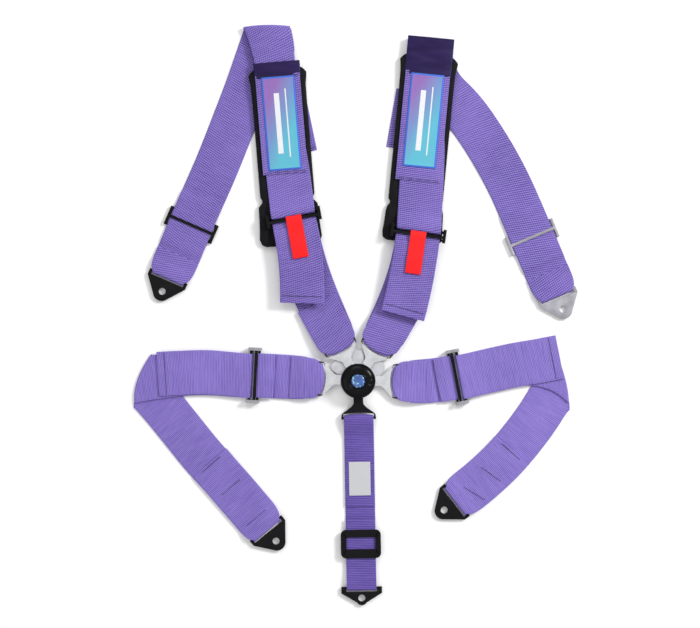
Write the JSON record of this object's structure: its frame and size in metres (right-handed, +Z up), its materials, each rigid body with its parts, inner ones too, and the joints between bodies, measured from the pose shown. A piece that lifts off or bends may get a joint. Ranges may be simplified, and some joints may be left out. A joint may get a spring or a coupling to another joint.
{
  "type": "racing harness",
  "caption": "Five-point racing harness laid flat: rotary quick-release buckle, padded shoulder belts, lap belts and crotch strap of woven webbing with bolt-in brackets.",
  "frame": {"origin": "centre of the buckle's flat underside, on the surface the harness lies on", "axes": "+Z up out of the surface, +Y from the buckle towards the shoulder belts, +X to the right seen from above"},
  "size_m": [0.7634, 1.0063, 0.0346],
  "materials": {
    "webbing": "woven polyester",
    "foam": "black padded mesh",
    "panel": "smooth woven cover",
    "patch": "printed and stitched",
    "tab": "woven",
    "label": "plain",
    "badge": "clear gloss",
    "black_metal": "satin black",
    "satin_metal": "satin",
    "chrome": "polished",
    "housing": "satin",
    "steel": "plain"
  },
  "bodies": {
    "buckle": {"buckle_back_plate": "black_metal", "buckle_housing": "housing", "buckle_screw_1": "steel", "buckle_screw_2": "steel", "buckle_screw_3": "steel", "lap_left_rivet": "steel", "lap_left_tongue": "chrome", "knob_return_spring": "steel", "lap_right_latch_spring": "steel", "shoulder_left_latch_spring": "steel", "shoulder_right_latch_spring": "steel", "crotch_latch_spring": "steel"},
    "knob": {"release_knob": "black_metal", "knob_badge": "badge", "knob_spindle": "steel", "cam_plate": "steel"},
    "lap_right_bolt": {"lap_right_latch_bolt": "steel"},
    "lap_right_tongue": {"lap_right_tongue": "chrome"},
    "shoulder_left_bolt": {"shoulder_left_latch_bolt": "steel"},
    "shoulder_left_tongue": {"shoulder_left_tongue": "chrome"},
    "shoulder_right_bolt": {"shoulder_right_latch_bolt": "steel"},
    "shoulder_right_tongue": {"shoulder_right_tongue": "chrome"},
    "crotch_bolt": {"crotch_latch_bolt": "steel"},
    "crotch_tongue": {"crotch_tongue": "black_metal"},
    "lap_left_strap": {"lap_left_short_webbing": "webbing"},
    "lap_left_belt": {"lap_left_adjuster_frame": "black_metal", "lap_left_adjuster_bar": "black_metal", "lap_left_belt_webbing": "webbing"},
    "lap_left_bracket": {"lap_left_bracket": "black_metal"},
    "lap_right_strap": {"lap_right_short_webbing": "webbing"},
    "lap_right_belt": {"lap_right_adjuster_frame": "black_metal", "lap_right_adjuster_bar": "black_metal", "lap_right_belt_webbing": "webbing"},
    "lap_right_bracket": {"lap_right_bracket": "black_metal"},
    "shoulder_left_strap": {"shoulder_left_lower_webbing": "webbing", "shoulder_left_tail_webbing": "webbing"},
    "shoulder_left_belt": {"shoulder_left_adjuster_frame": "black_metal", "shoulder_left_adjuster_bar": "black_metal", "shoulder_left_belt_webbing": "webbing"},
    "shoulder_left_pad": {"shoulder_left_pad_foam": "foam", "shoulder_left_pad_panel": "panel", "shoulder_left_patch": "patch"},
    "shoulder_left_tab": {"shoulder_left_pull_tab": "tab"},
    "shoulder_left_slide": {"shoulder_left_slide": "black_metal"},
    "shoulder_left_bracket": {"shoulder_left_bracket": "black_metal"},
    "shoulder_right_strap": {"shoulder_right_lower_webbing": "webbing", "shoulder_right_tail_webbing": "webbing"},
    "shoulder_right_belt": {"shoulder_right_adjuster_frame": "black_metal", "shoulder_right_adjuster_bar": "black_metal", "shoulder_right_belt_webbing": "webbing"},
    "shoulder_right_pad": {"shoulder_right_pad_foam": "foam", "shoulder_right_pad_panel": "panel", "shoulder_right_patch": "patch"},
    "shoulder_right_tab": {"shoulder_right_pull_tab": "tab"},
    "shoulder_right_slide": {"shoulder_right_slide": "satin_metal"},
    "shoulder_right_bracket": {"shoulder_right_bracket": "satin_metal"},
    "crotch_strap": {"crotch_webbing": "webbing", "crotch_label": "label"},
    "crotch_slide": {"crotch_slide": "black_metal"},
    "crotch_bracket": {"crotch_bracket": "black_metal"}
  },
  "joints": [
    {"name": "knob_turn", "type": "hinge", "parent": "buckle", "child": "knob", "pos_m": [0, 0, 0.0284], "axis": [0, 0, 1], "range_deg": [0, 36], "stiffness_Nm_per_rad": 0.05},
    {"name": "lap_right_bolt_lift", "type": "slide", "parent": "buckle", "child": "lap_right_bolt", "axis": [0, 0, 1], "range_m": [0, 0.003], "deforming": ["lap_right_latch_spring"]},
    {"name": "lap_right_tongue_release", "type": "slide", "parent": "buckle", "child": "lap_right_tongue", "axis": [0.9998, -0.0175, 0], "range_m": [0, 0.03]},
    {"name": "shoulder_left_bolt_lift", "type": "slide", "parent": "buckle", "child": "shoulder_left_bolt", "axis": [0, 0, 1], "range_m": [0, 0.003], "deforming": ["shoulder_left_latch_spring"]},
    {"name": "shoulder_left_tongue_release", "type": "slide", "parent": "buckle", "child": "shoulder_left_tongue", "axis": [-0.4695, 0.8829, 0], "range_m": [0, 0.03]},
    {"name": "shoulder_right_bolt_lift", "type": "slide", "parent": "buckle", "child": "shoulder_right_bolt", "axis": [0, 0, 1], "range_m": [0, 0.003], "deforming": ["shoulder_right_latch_spring"]},
    {"name": "shoulder_right_tongue_release", "type": "slide", "parent": "buckle", "child": "shoulder_right_tongue", "axis": [0.5, 0.866, 0], "range_m": [0, 0.03]},
    {"name": "crotch_bolt_lift", "type": "slide", "parent": "buckle", "child": "crotch_bolt", "axis": [0, 0, 1], "range_m": [0, 0.003], "deforming": ["crotch_latch_spring"]},
    {"name": "crotch_tongue_release", "type": "slide", "parent": "buckle", "child": "crotch_tongue", "axis": [0.0175, -0.9998, 0], "range_m": [0, 0.03]},
    {"name": "lap_left_strap_swing", "type": "hinge", "parent": "buckle", "child": "lap_left_strap", "pos_m": [-0.06191, 0.00325, 0.0085], "axis": [0.0523, 0.9986, 0], "range_deg": [-30, 60]},
    {"name": "lap_left_adjuster_swing", "type": "hinge", "parent": "lap_left_strap", "child": "lap_left_belt", "pos_m": [-0.17176, 0.009, 0.005], "axis": [0.0523, 0.9986, 0], "range_deg": [-30, 60]},
    {"name": "lap_left_bracket_swing", "type": "hinge", "parent": "lap_left_belt", "child": "lap_left_bracket", "pos_m": [-0.15816, -0.2554, 0.0048], "axis": [-0.7749, -0.632, 0], "range_deg": [-60, 60]},
    {"name": "lap_right_strap_swing", "type": "hinge", "parent": "lap_right_tongue", "child": "lap_right_strap", "pos_m": [0.06199, -0.00108, 0.0085], "axis": [-0.0175, -0.9998, 0], "range_deg": [-30, 60]},
    {"name": "lap_right_adjuster_swing", "type": "hinge", "parent": "lap_right_strap", "child": "lap_right_belt", "pos_m": [0.16356, 0.00518, 0.005], "axis": [0.1908, -0.9816, 0], "range_deg": [-30, 60]},
    {"name": "lap_right_bracket_swing", "type": "hinge", "parent": "lap_right_belt", "child": "lap_right_bracket", "pos_m": [0.16968, -0.20627, 0.0048], "axis": [-0.6157, 0.788, 0], "range_deg": [-60, 60]},
    {"name": "shoulder_left_strap_swing", "type": "hinge", "parent": "shoulder_left_tongue", "child": "shoulder_left_strap", "pos_m": [-0.02911, 0.05474, 0.0085], "axis": [0.8829, 0.4695, 0], "range_deg": [-30, 35]},
    {"name": "shoulder_left_adjuster_swing", "type": "hinge", "parent": "shoulder_left_strap", "child": "shoulder_left_belt", "pos_m": [-0.10921, 0.27314, 0.01565], "axis": [0.9836, 0.1805, 0], "range_deg": [0, 30]},
    {"name": "shoulder_left_pad_slide", "type": "slide", "parent": "shoulder_left_belt", "child": "shoulder_left_pad", "axis": [-0.0819, 0.9966, 0], "range_m": [-0.008, 0.008]},
    {"name": "shoulder_left_tab_lift", "type": "hinge", "parent": "shoulder_left_strap", "child": "shoulder_left_tab", "pos_m": [-0.10867, 0.27019, 0.02555], "axis": [-0.9836, -0.1805, 0], "range_deg": [0, 80]},
    {"name": "shoulder_left_slide_travel", "type": "slide", "parent": "shoulder_left_belt", "child": "shoulder_left_slide", "axis": [0.3987, 0.9171, 0], "range_m": [-0.02, 0.02]},
    {"name": "shoulder_left_bracket_swing", "type": "hinge", "parent": "shoulder_left_belt", "child": "shoulder_left_bracket", "pos_m": [-0.3265, 0.1785, 0.0048], "axis": [-0.9171, 0.3987, 0], "range_deg": [-60, 60]},
    {"name": "shoulder_right_strap_swing", "type": "hinge", "parent": "shoulder_right_tongue", "child": "shoulder_right_strap", "pos_m": [0.031, 0.05369, 0.0085], "axis": [0.866, -0.5, 0], "range_deg": [-30, 35]},
    {"name": "shoulder_right_adjuster_swing", "type": "hinge", "parent": "shoulder_right_strap", "child": "shoulder_right_belt", "pos_m": [0.10254, 0.24634, 0.01565], "axis": [0.99, -0.1409, 0], "range_deg": [0, 30]},
    {"name": "shoulder_right_pad_slide", "type": "slide", "parent": "shoulder_right_belt", "child": "shoulder_right_pad", "axis": [0.0958, 0.9954, 0], "range_m": [-0.008, 0.008]},
    {"name": "shoulder_right_tab_lift", "type": "hinge", "parent": "shoulder_right_strap", "child": "shoulder_right_tab", "pos_m": [0.10212, 0.24337, 0.02555], "axis": [-0.99, 0.1409, 0], "range_deg": [0, 80]},
    {"name": "shoulder_right_slide_travel", "type": "slide", "parent": "shoulder_right_belt", "child": "shoulder_right_slide", "axis": [-0.3907, 0.9205, 0], "range_m": [-0.02, 0.02]},
    {"name": "shoulder_right_bracket_swing", "type": "hinge", "parent": "shoulder_right_belt", "child": "shoulder_right_bracket", "pos_m": [0.3425, 0.148, 0.0048], "axis": [-0.9205, -0.3907, 0], "range_deg": [-60, 60]},
    {"name": "crotch_strap_swing", "type": "hinge", "parent": "crotch_tongue", "child": "crotch_strap", "pos_m": [0.00108, -0.06199, 0.0085], "axis": [-0.9998, -0.0175, 0], "range_deg": [-30, 60]},
    {"name": "crotch_slide_travel", "type": "slide", "parent": "crotch_strap", "child": "crotch_slide", "axis": [0.0175, -0.9998, 0], "range_m": [-0.015, 0.015]},
    {"name": "crotch_bracket_swing", "type": "hinge", "parent": "crotch_strap", "child": "crotch_bracket", "pos_m": [0.00623, -0.35695, 0.0048], "axis": [-0.9998, -0.0175, 0], "range_deg": [-60, 60]}
  ],
  "couplings": [
    {"joint": "lap_right_bolt_lift", "follows": "knob_turn", "m_per_rad": 0.0047699},
    {"joint": "shoulder_left_bolt_lift", "follows": "knob_turn", "m_per_rad": 0.0047699},
    {"joint": "shoulder_right_bolt_lift", "follows": "knob_turn", "m_per_rad": 0.0047699},
    {"joint": "crotch_bolt_lift", "follows": "knob_turn", "m_per_rad": 0.0047699}
  ]
}
